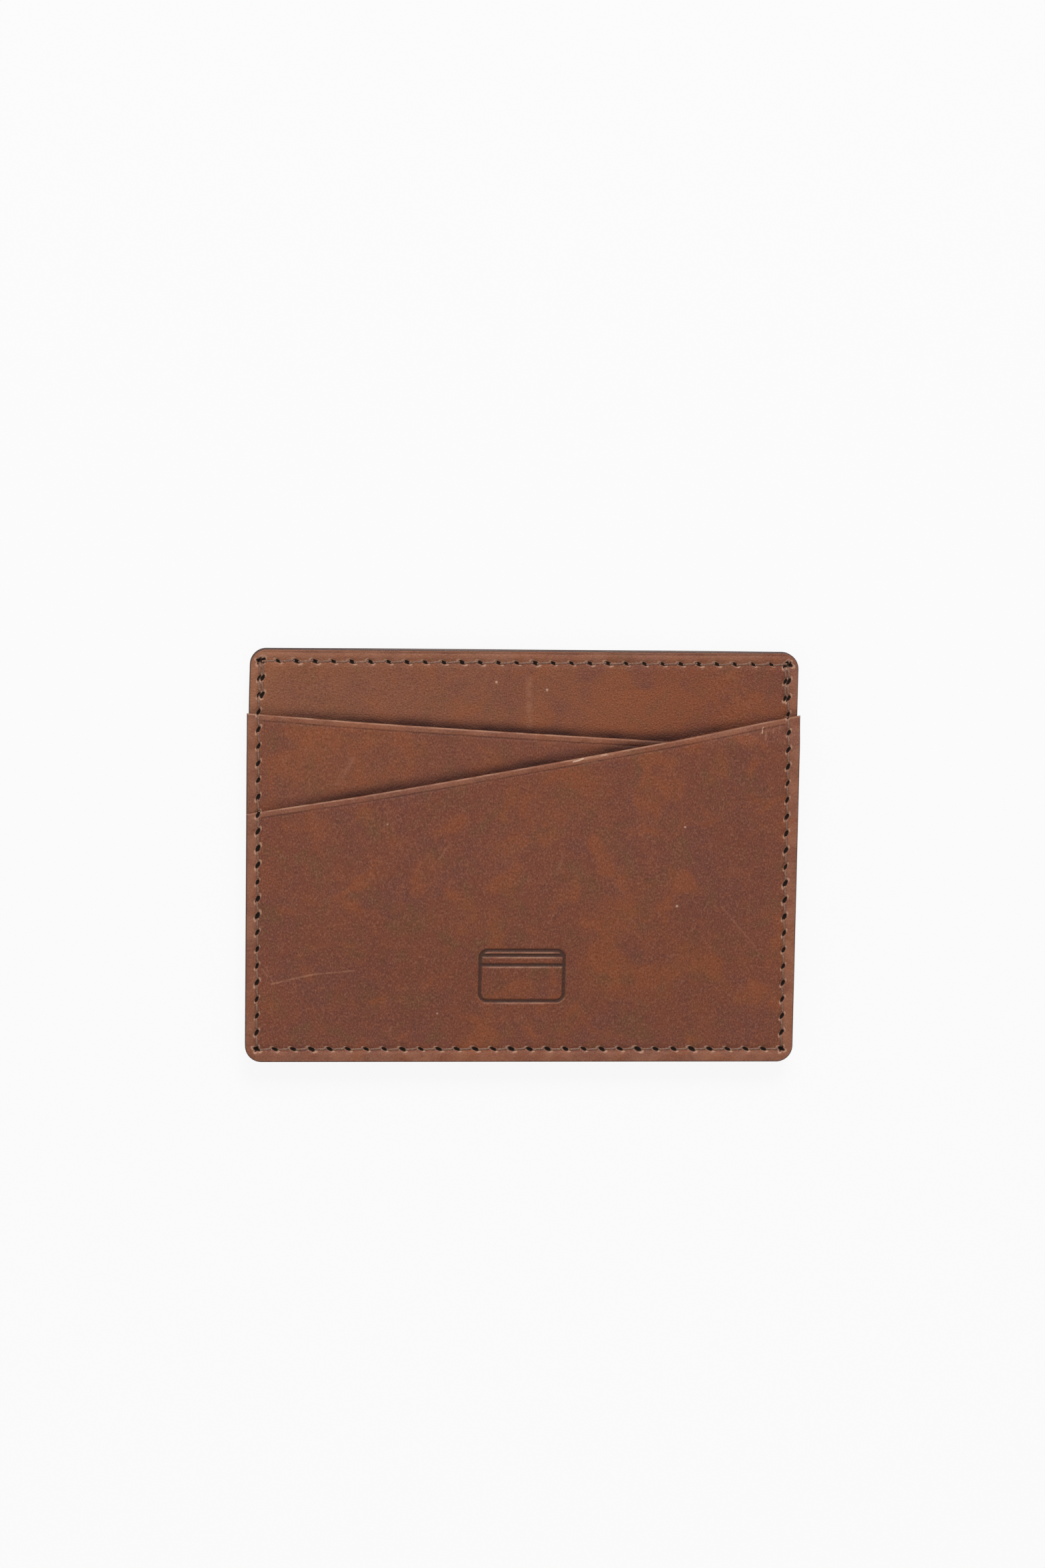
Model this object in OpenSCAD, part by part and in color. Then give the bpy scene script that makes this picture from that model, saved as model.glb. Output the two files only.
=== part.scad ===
// Leather card holder: a front and a back panel sewn together on three sides, open at the top,
// with two crossed diagonal pockets on the front. It lies on its back: +X is its width,
// +Y points to the open top edge and +Z is the front face. The origin is the middle of the
// back face.

/* [Outline] */
// Width across the pockets
wallet_w = 100; // [96:0.5:130]
// Height from the bottom seam to the open top edge
wallet_h = 75; // [70:0.5:100]
// Radius of the four corners
corner_r = 3; // [1:0.5:8]
// How much narrower the front panel is than the pockets, each side
panel_inset = 0.35; // [0:0.05:1]

/* [Leather and cloth] */
// Thickness of the front and back panels
panel_t = 0.9; // [0.85:0.05:1.6]
// Thickness of the two pockets
pocket_t = 0.8; // [0.6:0.05:1.4]
// Thickness of the cloth linings
lining_t = 0.2; // [0.1:0.05:0.4]
// How far the linings stay back from the panels' edges
lining_inset = 0.5; // [0.2:0.1:1.5]

/* [Cards] */
// Thickness of one card
card_t = 0.76; // [0.5:0.01:1.2]
// Height of a card laid across the wallet
card_h = 54; // [50:0.5:56]
// Room over a card in its slot
card_clearance = 0.1; // [0.05:0.01:0.3]
// How far a card in the upper pocket stays below the wallet's top edge
card_top_gap = 6.5; // [4:0.5:12]

/* [Pocket mouths] */
// Height of the upper pocket's mouth at the left edge
upper_left_h = 63.4; // [58:0.1:66]
// Height of the upper pocket's mouth at the right edge
upper_right_h = 57.8; // [50:0.1:60]
// Height of the lower pocket's mouth at the left edge
lower_left_h = 45.3; // [30:0.1:56]
// Height of the lower pocket's mouth at the right edge
lower_right_h = 63.7; // [58:0.1:66]
// How far the middle of each mouth dips below a straight line
mouth_sag = 0.35; // [0:0.05:1]

/* [Seams] */
// Thread diameter
thread_d = 0.45; // [0.3:0.05:0.45]
// Stitch length along the top and bottom
stitch_pitch = 3.3; // [2.5:0.1:4]
// Stitch length along the sides
side_pitch = 3.1; // [2.5:0.1:4]
// Gap between one stitch and the next, where the needle went through
needle_gap = 0.7; // [0.4:0.1:1.2]
// Distance of the side seams from the edge
seam_side = 2.1; // [1.6:0.1:3]
// Distance of the bottom seam from the edge
seam_bottom = 2.4; // [1.6:0.1:3]
// Distance of the top seams from the edge
seam_top = 2.2; // [1.6:0.1:3]
// Width of the groove that a seam lies in
groove_w = 0.7; // [0.6:0.05:1]
// Length of the doubled stitches at the top of each side seam
tack_len = 8; // [5:0.5:9]
// Distance between the two rows of doubled stitches
tack_spread = 0.6; // [0.5:0.05:0.9]
// Width of the tape that closes each slot under its seam
tape_w = 3; // [2.5:0.1:4]
// How far the tape stays back from the edge
tape_inset = 0.6; // [0.4:0.1:1]

/* [Mark] */
// Width of the debossed card sign
mark_w = 15.8; // [10:0.1:20]
// Height of the debossed card sign
mark_h = 10; // [6:0.1:14]
// Corner radius of the sign
mark_r = 1.4; // [0.8:0.1:2.5]
// Width of its lines
mark_line = 0.55; // [0.4:0.05:0.9]
// Depth of its lines
mark_depth = 0.25; // [0.1:0.05:0.4]
// Height of its middle above the bottom edge
mark_up = 16.1; // [12:0.1:30]

/* [Hidden] */

leather = [0.46, 0.28, 0.2];
cloth = [0.12, 0.11, 0.1];
tape = [0.85, 0.82, 0.72];
thread = [0.42, 0.34, 0.28];

arc_fn = 48;
thread_fn = 16;
// Cuts run this far past the surface they open
past = 1;
// Straight pieces in a mouth's curve
mouth_steps = 12;

left = -1;
right = 1;
slot_t = card_t + card_clearance;

// Heights of the layers, from the back face up
back_lining_z = panel_t;
centre_slot_z = back_lining_z + lining_t;
front_lining_z = centre_slot_z + slot_t;
front_panel_z = front_lining_z + lining_t;
upper_slot_z = front_panel_z + panel_t;
upper_pocket_z = upper_slot_z + slot_t;
lower_slot_z = upper_pocket_z + pocket_t;
lower_pocket_z = lower_slot_z + slot_t;
front_face_z = lower_pocket_z + pocket_t;

bottom_y = -wallet_h / 2;
top_y = wallet_h / 2;
seam_x = wallet_w / 2 - seam_side;
seam_bottom_y = bottom_y + seam_bottom;
seam_top_y = top_y - seam_top;
// The seam that the upper pocket's cards stand on, and the tape along it
floor_y = top_y - card_top_gap - card_h - tape_w / 2;
floor_seam_x = wallet_w / 2 - tape_inset - tape_w;
// A seam and its tape stop this far short of a pocket's mouth
mouth_margin = 0.7;
bottom_tape_y = bottom_y + tape_inset + tape_w / 2;
// Strips of tape meet with a hairline between them
tape_gap = 0.05;
// The card sign's stripe runs between these two shares of its height, from the top
stripe_from = 0.12;
stripe_to = 0.3;

// Height of a mouth at x, for the heights of its two ends above the bottom edge
function mouth_y(x, left_h, right_h) =
  let (u = x / wallet_w + 0.5)
  bottom_y + left_h + (right_h - left_h) * u - 4 * mouth_sag * u * (1 - u);

function upper_y(x) = mouth_y(x, upper_left_h, upper_right_h);
function lower_y(x) = mouth_y(x, lower_left_h, lower_right_h);

// Where the exposed part of the front panel ends at the bottom
function panel_shows_from(x) = max(lower_y(x), upper_y(x));

module rounded(w, h, r) {
  square([w - 2 * r, h], center = true);
  square([w, h - 2 * r], center = true);
  for (sx = [-1, 1], sy = [-1, 1])
    translate([sx * (w / 2 - r), sy * (h / 2 - r)]) circle(r, $fn = arc_fn);
}

// The wallet's outline, brought in by a side inset and by an inset at top and bottom
module outline(side = 0, ends = 0) {
  rounded(wallet_w - 2 * side, wallet_h - 2 * ends, corner_r);
}

module below_mouth(left_h, right_h) {
  half = wallet_w / 2 + past;
  mouth = [
    for (i = [0 : mouth_steps])
      let (x = half - 2 * half * i / mouth_steps) [x, mouth_y(x, left_h, right_h)]
  ];
  polygon(concat([[-half, bottom_y - past], [half, bottom_y - past]], mouth));
}

// One seam's groove, cut from z upward, between two points on a side
module side_groove(side, y0, y1, z, width = groove_w) {
  if (y1 > y0)
    translate([side * seam_x - width / 2, y0, z]) cube([width, y1 - y0, thread_d + past]);
}

module cross_groove(x, y, z) {
  translate([-x, y - groove_w / 2, z]) cube([2 * x, groove_w, thread_d + past]);
}

// Both side seams' tops, where the stitches are doubled
module tack_groove(z) {
  for (side = [left, right])
    translate([-side * tack_spread / 2, 0, 0])
      side_groove(side, seam_top_y - tack_len, seam_top_y, z, groove_w + tack_spread);
}

// A row of stitches from y0 to y1 beside a side seam, shift away from it and at height z
module side_stitches(side, y0, y1, z, shift = 0) {
  count = max(1, round((y1 - y0) / side_pitch));
  pitch = (y1 - y0) / count;
  if (y1 - y0 > needle_gap * 2)
    for (i = [0 : count - 1])
      translate([side * seam_x + shift, y0 + i * pitch + needle_gap / 2, z])
        rotate([-90, 0, 0]) cylinder(d = thread_d, h = pitch - needle_gap, $fn = thread_fn);
}

// A row of stitches across the wallet at height z, from -x to x
module cross_stitches(x, y, z) {
  count = round(2 * x / stitch_pitch);
  pitch = 2 * x / count;
  for (i = [0 : count - 1])
    translate([-x + i * pitch + needle_gap / 2, y, z])
      rotate([0, 90, 0]) cylinder(d = thread_d, h = pitch - needle_gap, $fn = thread_fn);
}

// A strip of tape along one side of a slot, up to the height y1
module side_tape(side, y1, z) {
  translate([0, 0, z]) linear_extrude(slot_t) intersection() {
    outline(side = tape_inset, ends = tape_inset);
    translate([side > 0 ? floor_seam_x : -floor_seam_x - tape_w, bottom_y])
      square([tape_w, y1 - bottom_y]);
  }
}

module cross_tape(y, z) {
  translate([-floor_seam_x + tape_gap, y - tape_w / 2, z])
    cube([2 * (floor_seam_x - tape_gap), tape_w, slot_t]);
}

module back_panel() {
  color(leather) difference() {
    linear_extrude(panel_t) outline();
    mirror([0, 0, 1]) back_grooves();
    // Top seam's under-thread, flush with the lining
    cross_groove(seam_x, seam_top_y, panel_t + lining_t - thread_d);
  }
}

module back_grooves() {
  z = -thread_d;
  for (side = [left, right]) side_groove(side, seam_bottom_y, seam_top_y, z);
  cross_groove(seam_x, seam_bottom_y, z);
  cross_groove(seam_x, seam_top_y, z);
  tack_groove(z);
}

module back_lining() {
  color(cloth) translate([0, 0, back_lining_z]) difference() {
    linear_extrude(lining_t) outline(side = lining_inset, ends = lining_inset);
    cross_groove(seam_x, seam_top_y, lining_t - thread_d);
  }
}

module centre_tape() {
  color(tape) {
    for (side = [left, right]) side_tape(side, seam_top_y - seam_top, centre_slot_z);
    cross_tape(bottom_tape_y, centre_slot_z);
  }
}

module front_lining() {
  color(cloth) translate([0, 0, front_lining_z]) difference() {
    linear_extrude(lining_t) outline(side = lining_inset + panel_inset, ends = lining_inset);
    lining_grooves(0);
  }
}

// Under-threads of the front top seam and the floor seam, flush with the lining's face at z
module lining_grooves(z) {
  translate([0, 0, z]) mirror([0, 0, 1]) {
    cross_groove(seam_x, seam_top_y, -thread_d);
    cross_groove(floor_seam_x, floor_y, -thread_d);
  }
}

module front_panel() {
  color(leather) difference() {
    translate([0, 0, front_panel_z]) linear_extrude(panel_t) outline(side = panel_inset);
    lining_grooves(front_lining_z);
    cross_groove(seam_x, seam_top_y, upper_slot_z - thread_d);
    tack_groove(upper_slot_z - thread_d);
    for (side = [left, right])
      side_groove(side, panel_shows_from(side * seam_x), seam_top_y, upper_slot_z - thread_d);
  }
}

module upper_tape() {
  color(tape) {
    for (side = [left, right])
      side_tape(side, upper_y(side * seam_x) - mouth_margin, upper_slot_z);
    cross_tape(bottom_tape_y, upper_slot_z);
    cross_tape(floor_y, upper_slot_z);
  }
}

module upper_pocket() {
  color(leather) difference() {
    translate([0, 0, upper_pocket_z]) linear_extrude(pocket_t) intersection() {
      outline();
      below_mouth(upper_left_h, upper_right_h);
    }
    cross_groove(floor_seam_x, floor_y, lower_slot_z - thread_d);
    for (side = [left, right])
      side_groove(
        side, lower_y(side * seam_x), upper_y(side * seam_x) + past,
        lower_slot_z - thread_d
      );
  }
}

module lower_tape() {
  color(tape) {
    for (side = [left, right])
      side_tape(side, lower_y(side * seam_x) - mouth_margin, lower_slot_z);
    cross_tape(bottom_tape_y, lower_slot_z);
  }
}

module card_sign() {
  difference() {
    rounded(mark_w, mark_h, mark_r);
    rounded(mark_w - 2 * mark_line, mark_h - 2 * mark_line, mark_r - mark_line);
  }
  for (edge = [stripe_from, stripe_to])
    translate([-mark_w / 2 + mark_line / 2, mark_h * (0.5 - edge) - mark_line / 2])
      square([mark_w - mark_line, mark_line]);
}

module lower_pocket() {
  color(leather) difference() {
    translate([0, 0, lower_pocket_z]) linear_extrude(pocket_t) intersection() {
      outline();
      below_mouth(lower_left_h, lower_right_h);
    }
    cross_groove(seam_x, seam_bottom_y, front_face_z - thread_d);
    for (side = [left, right])
      side_groove(
        side, seam_bottom_y, lower_y(side * seam_x) + past, front_face_z - thread_d
      );
    translate([0, bottom_y + mark_up, front_face_z - mark_depth])
      linear_extrude(mark_depth + past) card_sign();
  }
}

module back_top_thread() {
  color(thread) cross_stitches(seam_x, seam_top_y, thread_d / 2);
}

module back_top_bobbin_thread() {
  color(thread) cross_stitches(seam_x, seam_top_y, centre_slot_z - thread_d / 2);
}

module front_top_thread() {
  color(thread) cross_stitches(seam_x, seam_top_y, upper_slot_z - thread_d / 2);
}

module front_top_bobbin_thread() {
  color(thread) cross_stitches(seam_x, seam_top_y, front_lining_z + thread_d / 2);
}

module floor_thread() {
  color(thread) cross_stitches(floor_seam_x, floor_y, lower_slot_z - thread_d / 2);
}

module floor_bobbin_thread() {
  color(thread) cross_stitches(floor_seam_x, floor_y, front_lining_z + thread_d / 2);
}

// One side of the rim seam, on the lower pocket, the upper pocket and the front panel
module side_seam(side) {
  x = side * seam_x;
  low = lower_y(x);
  high = upper_y(x);
  side_stitches(side, seam_bottom_y, low - mouth_margin, front_face_z - thread_d / 2);
  side_stitches(side, low + mouth_margin, high - mouth_margin, lower_slot_z - thread_d / 2);
  side_stitches(
    side, panel_shows_from(x) + mouth_margin, seam_top_y, upper_slot_z - thread_d / 2
  );
}

module rim_thread() {
  color(thread) {
    for (side = [left, right]) side_seam(side);
    cross_stitches(seam_x, seam_bottom_y, front_face_z - thread_d / 2);
  }
}

module rim_bobbin_thread() {
  color(thread) {
    for (side = [left, right]) side_stitches(side, seam_bottom_y, seam_top_y, thread_d / 2);
    cross_stitches(seam_x, seam_bottom_y, thread_d / 2);
  }
}

// Doubled stitches beside the top of one side seam, on the front and on the back
module tack_thread(side) {
  color(thread)
    for (z = [upper_slot_z - thread_d / 2, thread_d / 2])
      side_stitches(side, seam_top_y - tack_len, seam_top_y, z, -side * tack_spread);
}

module left_tack_thread() {
  tack_thread(left);
}

module right_tack_thread() {
  tack_thread(right);
}

back_panel();
back_lining();
centre_tape();
front_lining();
front_panel();
upper_tape();
upper_pocket();
lower_tape();
lower_pocket();
back_top_thread();
back_top_bobbin_thread();
front_top_thread();
front_top_bobbin_thread();
floor_thread();
floor_bobbin_thread();
rim_thread();
rim_bobbin_thread();
left_tack_thread();
right_tack_thread();
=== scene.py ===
import math

import bmesh
import bpy
import numpy as np
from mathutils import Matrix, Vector
from mathutils.geometry import delaunay_2d_cdt


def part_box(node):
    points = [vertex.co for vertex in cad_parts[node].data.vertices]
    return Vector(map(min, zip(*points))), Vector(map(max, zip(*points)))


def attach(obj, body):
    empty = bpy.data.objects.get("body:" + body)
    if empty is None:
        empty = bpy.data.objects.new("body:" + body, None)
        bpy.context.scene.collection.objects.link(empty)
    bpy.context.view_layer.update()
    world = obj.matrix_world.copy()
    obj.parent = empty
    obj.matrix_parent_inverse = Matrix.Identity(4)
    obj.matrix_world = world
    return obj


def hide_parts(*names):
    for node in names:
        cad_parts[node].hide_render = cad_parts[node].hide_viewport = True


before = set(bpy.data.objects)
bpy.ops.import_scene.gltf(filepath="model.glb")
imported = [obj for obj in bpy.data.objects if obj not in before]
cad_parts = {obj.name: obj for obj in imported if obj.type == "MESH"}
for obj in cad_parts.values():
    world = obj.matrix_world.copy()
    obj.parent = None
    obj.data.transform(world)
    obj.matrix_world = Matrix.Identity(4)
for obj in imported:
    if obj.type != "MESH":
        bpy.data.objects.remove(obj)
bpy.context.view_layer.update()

MM = 0.001
BODY = "root"

# ---------------------------------------------------------------- places from the CAD frame


def extent(node):
    low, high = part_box(node)
    return np.array(low), np.array(high)


def thickness(node):
    low, high = extent(node)
    return high[2] - low[2]


def middle(node, axis):
    low, high = extent(node)
    return (low[axis] + high[axis]) / 2


POCKET_LOW, POCKET_HIGH = extent("lower_pocket")
HALF_W = POCKET_HIGH[0]
PANEL_HALF_W = extent("front_panel")[1][0]
BOTTOM = POCKET_LOW[1]
TOP = extent("front_panel")[1][1]
PANEL_T = thickness("front_panel")
POCKET_T = thickness("lower_pocket")
LINING_T = thickness("front_lining")
LINING_INSET = TOP - extent("front_lining")[1][1]
SLOT_T = thickness("centre_tape")
TAPE_INSET = HALF_W - extent("centre_tape")[1][0]
THREAD_D = thickness("back_top_thread")
SEAM_X = extent("rim_thread")[1][0] - THREAD_D / 2
SEAM_SIDE = HALF_W - SEAM_X
SEAM_BOTTOM = extent("rim_thread")[0][1] + THREAD_D / 2
SEAM_TOP = middle("front_top_thread", 1)
FLOOR_Y = middle("floor_thread", 1)
FLOOR_X = extent("floor_thread")[1][0]
TACK_LOW = extent("left_tack_thread")[0][1]
TACK_X = abs(middle("left_tack_thread", 0))
CORNER_R = 3 * MM
TAPE_W = 3 * MM
FIT_ROUNDS = 12


def mouth_line(node):
    """x and y along a pocket's mouth, from its CAD solid."""
    points = np.array([v.co[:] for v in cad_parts[node].data.vertices])
    above_mark = points[:, 1] > BOTTOM + 40 * MM
    xs, ys = points[above_mark, 0], points[above_mark, 1]
    keep = np.unique(np.round(xs, 4))
    return keep, np.array([ys[np.abs(xs - x) < 0.1 * MM].max() for x in keep])


def smooth_mouth(line):
    """A parabola through the mouth's points, so that its edge has no corners. Points of the
    grooves lie below it and are dropped."""
    xs, ys = line
    for _ in range(FIT_ROUNDS):
        curve = np.poly1d(np.polyfit(xs, ys, 2))
        high = ys > curve(xs) - 0.02 * MM
        xs, ys = xs[high], ys[high]
    return curve


upper_y = smooth_mouth(mouth_line("upper_pocket"))
lower_y = smooth_mouth(mouth_line("lower_pocket"))


def top_y(x):
    return np.full_like(np.asarray(x, float), TOP)


# ---------------------------------------------------------------- how the layers lie

# The leather bends down to the seam over this width
RISE = 21 * MM
# Gap between two layers at the seam
SEAM_GAP = 0.1 * MM
# The rim stands off the floor by this much
RIM_LIFT = SLOT_T / 2
# The back panel's belly clears the floor by the height of its stitches
BELLY = 0.06 * MM
# The lower pocket comes down past the upper pocket's hidden mouth over this width
FALL = 5 * MM
COVER_LEFT = 0.35
# How far the front panel swells into the centre compartment
SWELL = 0.12 * MM


def smooth(t):
    t = np.clip(t, 0, 1)
    return t * t * (3 - 2 * t)


def opened(x, y, floor):
    """How far a slot is open at a place, from 0 at its seams to 1."""
    return smooth((SEAM_X - np.abs(x)) / RISE) * smooth((y - floor) / RISE)


def slot_gap(x, y, floor):
    return SEAM_GAP + (SLOT_T - SEAM_GAP) * opened(x, y, floor)


def wave(x, y):
    """The slow unevenness of a hide, from 0 to 1."""
    a = np.sin(x * 61 + 1.3 * np.sin(y * 43 + 0.4))
    b = np.sin(y * 88 + 1.1 * np.sin(x * 52 + 2.1))
    return 0.5 + 0.25 * (a + b)


def back_low(x, y):
    return BELLY + RIM_LIFT * (1 - opened(x, y, SEAM_BOTTOM))


def back_high(x, y):
    return back_low(x, y) + PANEL_T


def back_lining_high(x, y):
    return back_high(x, y) + LINING_T


def front_lining_low(x, y):
    gap = slot_gap(x, y, SEAM_BOTTOM)
    swell = SWELL * wave(x, y) * opened(x, y, SEAM_BOTTOM)
    return back_lining_high(x, y) + gap - swell


def front_low(x, y):
    return front_lining_low(x, y) + LINING_T


def front_high(x, y):
    return front_low(x, y) + PANEL_T


def upper_low(x, y):
    return front_high(x, y) + slot_gap(x, y, FLOOR_Y)


def upper_high(x, y):
    return upper_low(x, y) + POCKET_T


def cover(x, y):
    """How much of the upper pocket's height the lower pocket still rests on."""
    return COVER_LEFT + (1 - COVER_LEFT) * smooth(1 - (y - upper_y(x)) / FALL)


def lower_low(x, y):
    under = (slot_gap(x, y, FLOOR_Y) + POCKET_T) * cover(x, y)
    return front_high(x, y) + under + slot_gap(x, y, SEAM_BOTTOM)


def lower_high(x, y):
    return lower_low(x, y) + POCKET_T


def front_face(x, y):
    """The leather that shows at a place on the front."""
    face = np.where(y < upper_y(x), upper_high(x, y), front_high(x, y))
    return np.where(y < lower_y(x), lower_high(x, y), face)


# ---------------------------------------------------------------- seams

STITCH_PITCH = 3.3 * MM
SIDE_PITCH = 3.1 * MM
# Needle holes are slanted slits: half length, half width and slant from +X
HOLE_LONG = 0.66 * MM
HOLE_SHORT = 0.31 * MM
ROW_SLANT = math.radians(-24)
SIDE_SLANT = math.radians(64)
# Depth of the groove under the thread, and of the dent at each hole
GROOVE_DEPTH = 0.16 * MM
DENT_DEPTH = 0.34 * MM


class Seam:
    """A straight row of holes, along X or along Y."""

    def __init__(self, axis, line, start, end, pitch, slant):
        self.axis = axis
        self.line = line
        self.start = start
        self.end = end
        self.count = max(1, round((end - start) / pitch))
        self.pitch = (end - start) / self.count
        self.slant = slant

    def holes(self):
        along = [self.start + i * self.pitch for i in range(self.count + 1)]
        return [(a, self.line) if self.axis == 0 else (self.line, a) for a in along]

    def local(self, x, y):
        """Distance along from the nearest hole, distance across, and how far past the ends."""
        s, n = (x, y - self.line) if self.axis == 0 else (y, x - self.line)
        step = np.clip(np.round((s - self.start) / self.pitch), 0, self.count)
        past = np.maximum(self.start - s, s - self.end).clip(0)
        return s - self.start - step * self.pitch, n, past


def side_seam(side):
    return Seam(1, side * SEAM_X, SEAM_BOTTOM, SEAM_TOP, SIDE_PITCH, SIDE_SLANT)


LEFT_SEAM = side_seam(-1)
RIGHT_SEAM = side_seam(1)


def tack_seam(side):
    """The doubled stitches beside the top of a side seam, from the same holes up."""
    pitch = LEFT_SEAM.pitch
    low = SEAM_TOP - round((SEAM_TOP - TACK_LOW) / pitch) * pitch
    return Seam(1, side * TACK_X, low, SEAM_TOP, pitch, SIDE_SLANT)


LEFT_TACK = tack_seam(-1)
RIGHT_TACK = tack_seam(1)
BOTTOM_SEAM = Seam(0, SEAM_BOTTOM, -SEAM_X, SEAM_X, STITCH_PITCH, ROW_SLANT)
TOP_SEAM = Seam(0, SEAM_TOP, -SEAM_X, SEAM_X, STITCH_PITCH, ROW_SLANT)
FLOOR_SEAM = Seam(0, FLOOR_Y, -FLOOR_X, FLOOR_X, STITCH_PITCH, ROW_SLANT)
TACKS = [LEFT_TACK, RIGHT_TACK]
SIDES = [LEFT_SEAM, RIGHT_SEAM]


def seam_sink(seams, x, y):
    """How deep the thread pulls the leather in along its seams and at each hole."""
    sink = np.zeros_like(x)
    for seam in seams:
        s, n, past = seam.local(x, y)
        groove = GROOVE_DEPTH * np.exp(-((n / (0.5 * MM)) ** 2 + (past / (0.4 * MM)) ** 2))
        dx, dy = (s, n) if seam.axis == 0 else (n, s)
        c, k = math.cos(seam.slant), math.sin(seam.slant)
        long = (dx * c + dy * k) / (HOLE_LONG * 1.15)
        short = (-dx * k + dy * c) / (HOLE_SHORT * 1.35)
        hole = DENT_DEPTH * np.exp(-(long**2 + short**2) * 1.2) * (past < 0.9 * MM)
        sink = np.maximum(sink, groove) + hole
    return sink


# ---------------------------------------------------------------- the card sign

SIGN_LOW, SIGN_HIGH = np.array([-7.9, 11.1]) * MM, np.array([7.9, 21.1]) * MM
SIGN_R = 1.4 * MM
SIGN_LINE = 0.55 * MM
SIGN_DEPTH = 0.24 * MM
SIGN_STRIPE = (0.12, 0.3)


def sign_mask(x, y):
    """1 in the debossed lines of a bank card's outline and stripe, from its bottom left."""
    mid = (SIGN_LOW + SIGN_HIGH) / 2
    half = (SIGN_HIGH - SIGN_LOW) / 2 - SIGN_LINE / 2
    px, py = np.abs(x - mid[0]), np.abs(y - BOTTOM - mid[1])
    qx, qy = px - half[0] + SIGN_R, py - half[1] + SIGN_R
    edge = np.hypot(qx.clip(0), qy.clip(0)) + np.minimum(np.maximum(qx, qy), 0) - SIGN_R
    away = np.abs(edge)
    for share in SIGN_STRIPE:
        line_y = BOTTOM + SIGN_HIGH[1] - share * (SIGN_HIGH[1] - SIGN_LOW[1])
        stripe = np.hypot(np.abs(y - line_y), (px - half[0]).clip(0))
        away = np.minimum(away, stripe)
    return smooth((SIGN_LINE * 0.78 - away) / (SIGN_LINE * 0.42))


# ---------------------------------------------------------------- leather sheets

# Radius of a burnished edge, outside and inside
EDGE_R = 0.32 * MM
INNER_R = 0.14 * MM
# Grid lines near an edge, as distances from it in millimetres
EDGE_LINES = [
    0, 0.03, 0.08, 0.15, 0.24, 0.34, 0.5, 0.7, 0.9, 1.1, 1.3, 1.5,
    1.7, 1.9, 2.1, 2.3, 2.5, 2.7, 2.95, 3.25, 3.6, 4.1,
]
MOUTH_LINES = [
    0, 0.03, 0.08, 0.15, 0.24, 0.34, 0.5, 0.65, 0.78, 0.9, 1.0, 1.1,
    1.2, 1.3, 1.42, 1.58, 1.8, 2.1, 2.5, 3.0,
]
HIDDEN_LINES = [0, 0.03, 0.08, 0.15, 0.24, 0.34, 1]
# Grid steps on a face that shows, across the card sign and where the leather is hidden
FACE_STEP = 0.45 * MM
SIGN_STEP = 0.17 * MM
HIDDEN_STEP = 2 * MM
SIGN_MARGIN = 0.6 * MM
INNER_STEP = 2.6 * MM
INNER_CLEAR = 1.2 * MM
# How far creases lie below a pocket's mouth and below the panels' top edges
CREASE_AT = 1.15 * MM
TOP_CREASE_AT = 0.55 * MM
CREASE_W = 0.17 * MM
CREASE_DEPTH = 0.09 * MM
# The raised margin between a seam and the edge: height, middle and width
BEAD = 0.05 * MM
BEAD_AT = 1.1 * MM
BEAD_W = 0.6 * MM
# Width of the painted edge, and over which length the paint fades
PAINT_W = 0.24 * MM
PAINT_FADE = 0.16 * MM
# The rubbed margin goes this far past the seam
RIM_PAST = 0.25 * MM
RIM_FADE = 0.6 * MM
MARGIN_FADE = MM
# The strip between a pocket's mouth and its crease is rubbed too, but less
HEM_RUB = 0.7
HEM_FADE = 0.3 * MM
# Width of the painted highlight below each debossed line, on its lower wall
SIGN_SHINE = 0.2 * MM


def lines_between(low, high, step):
    count = max(1, math.ceil((high - low) / step - 1e-6))
    return [low + (high - low) * i / count for i in range(1, count)]


def column_lines(half_w, fine):
    """X of every column: fine at both sides and, if asked, across the card sign."""
    side = [-half_w + d * MM for d in EDGE_LINES]
    stops = [side[-1]]
    if fine:
        stops += [SIGN_LOW[0] - SIGN_MARGIN, SIGN_HIGH[0] + SIGN_MARGIN]
    stops.append(-side[-1])
    lines = list(side)
    for i, (a, b) in enumerate(zip(stops, stops[1:])):
        step = SIGN_STEP if fine and i == 1 else FACE_STEP
        lines += lines_between(a, b, step) + [b]
    return np.array(lines[:-1] + [-d for d in reversed(side)])


def grid_faces(shape):
    """The quads of a grid of points, and the points round its outline."""
    index = np.arange(shape[0] * shape[1]).reshape(shape)
    quads = np.stack([index[:-1, :-1], index[:-1, 1:], index[1:, 1:], index[1:, :-1]], -1)
    loop = np.concatenate([index[0, :-1], index[:-1, -1], index[-1, :0:-1], index[:0:-1, 0]])
    return quads.reshape(-1, 4), loop


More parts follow.
